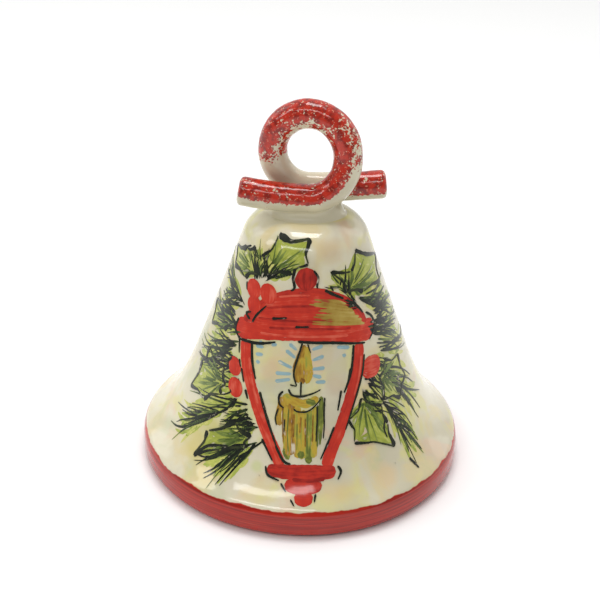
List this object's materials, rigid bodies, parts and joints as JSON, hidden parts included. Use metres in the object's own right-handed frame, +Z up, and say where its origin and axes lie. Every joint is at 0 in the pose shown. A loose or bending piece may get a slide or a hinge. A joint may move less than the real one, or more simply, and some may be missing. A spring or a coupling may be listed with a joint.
{
  "type": "christmas bell ornament",
  "caption": "Hand-made glazed ceramic bell with a looped clay handle, a painted lantern and holly, and a hanging clapper inside.",
  "frame": {"origin": "centre of the flat ring that the bell stands on", "axes": "+Z up along the bell's axis; the painted front faces -Y; +X is to the right seen from the front"},
  "size_m": [0.11, 0.11, 0.1265],
  "materials": {
    "white_glaze": "glossy white tin glaze, hand painted under clear glaze",
    "red_glaze": "glossy red pigment dabbed over white glaze",
    "green_glaze": "leaf-green brush strokes under the gloss of the glaze",
    "black_glaze": "black-green outlines under the gloss of the glaze",
    "ochre_glaze": "ochre-yellow brush strokes under the gloss of the glaze",
    "blue_glaze": "thin pale blue brush strokes under the gloss of the glaze",
    "bare_clay": "matt biscuit clay",
    "steel_wire": "drawn steel wire"
  },
  "bodies": {
    "bell": {"bell_shell": "white_glaze", "handle_coil": "red_glaze", "handle_saddle": "white_glaze", "clapper_bar": "bare_clay", "bar_wad_left": "bare_clay", "bar_wad_right": "bare_clay"},
    "hanger": {"hanger_wire": "steel_wire", "hanger_washer": "steel_wire"},
    "clapper": {"clapper_wire": "steel_wire", "clapper_ball": "white_glaze"}
  },
  "joints": [
    {"name": "hanger_swivel", "type": "hinge", "parent": "bell", "child": "hanger", "pos_m": [0, 0, 0.074], "axis": [0, 0, 1], "continuous": true},
    {"name": "clapper_swing", "type": "hinge", "parent": "hanger", "child": "clapper", "pos_m": [0, 0, 0.0625], "axis": [1, 0, 0], "range_deg": [-36, 36]}
  ]
}
